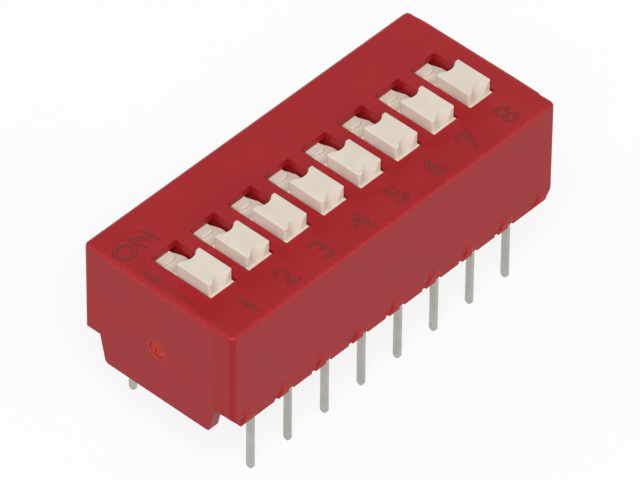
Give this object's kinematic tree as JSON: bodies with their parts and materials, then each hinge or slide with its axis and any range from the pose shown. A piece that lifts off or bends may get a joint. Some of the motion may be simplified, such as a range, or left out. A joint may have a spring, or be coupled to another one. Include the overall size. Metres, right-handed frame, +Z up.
{
  "type": "dip switch",
  "caption": "Slide DIP switch bank with a red housing, cream raised sliders and two rows of solder pins.",
  "frame": {"origin": "centre of the footprint, at the level of the pin tips", "axes": "+X along the rows from switch 1 to the last switch, +Y across them from OFF to ON, +Z up out of the board"},
  "size_m": [0.0224, 0.0096, 0.0111],
  "materials": {
    "housing": "fine matt moulded red thermoplastic",
    "slider": "satin moulded cream nylon",
    "spring": "gold-plated spring strip",
    "terminal": "matt tin plate"
  },
  "bodies": {
    "housing": {"cover": "housing", "base": "housing", "front_terminal_1": "terminal", "front_terminal_2": "terminal", "front_terminal_3": "terminal", "front_terminal_4": "terminal", "front_terminal_5": "terminal", "front_terminal_6": "terminal", "front_terminal_7": "terminal", "front_terminal_8": "terminal", "back_terminal_1": "terminal", "back_terminal_2": "terminal", "back_terminal_3": "terminal", "back_terminal_4": "terminal", "back_terminal_5": "terminal", "back_terminal_6": "terminal", "back_terminal_7": "terminal", "back_terminal_8": "terminal"},
    "slider_1": {"actuator_1": "slider", "contact_1": "spring"},
    "slider_2": {"actuator_2": "slider", "contact_2": "spring"},
    "slider_3": {"actuator_3": "slider", "contact_3": "spring"},
    "slider_4": {"actuator_4": "slider", "contact_4": "spring"},
    "slider_5": {"actuator_5": "slider", "contact_5": "spring"},
    "slider_6": {"actuator_6": "slider", "contact_6": "spring"},
    "slider_7": {"actuator_7": "slider", "contact_7": "spring"},
    "slider_8": {"actuator_8": "slider", "contact_8": "spring"}
  },
  "joints": [
    {"name": "slide_1", "type": "slide", "parent": "housing", "child": "slider_1", "axis": [0, 1, 0], "range_m": [0, 0.0014]},
    {"name": "slide_2", "type": "slide", "parent": "housing", "child": "slider_2", "axis": [0, 1, 0], "range_m": [0, 0.0014]},
    {"name": "slide_3", "type": "slide", "parent": "housing", "child": "slider_3", "axis": [0, 1, 0], "range_m": [0, 0.0014]},
    {"name": "slide_4", "type": "slide", "parent": "housing", "child": "slider_4", "axis": [0, 1, 0], "range_m": [0, 0.0014]},
    {"name": "slide_5", "type": "slide", "parent": "housing", "child": "slider_5", "axis": [0, 1, 0], "range_m": [0, 0.0014]},
    {"name": "slide_6", "type": "slide", "parent": "housing", "child": "slider_6", "axis": [0, 1, 0], "range_m": [0, 0.0014]},
    {"name": "slide_7", "type": "slide", "parent": "housing", "child": "slider_7", "axis": [0, 1, 0], "range_m": [0, 0.0014]},
    {"name": "slide_8", "type": "slide", "parent": "housing", "child": "slider_8", "axis": [0, 1, 0], "range_m": [0, 0.0014]}
  ]
}
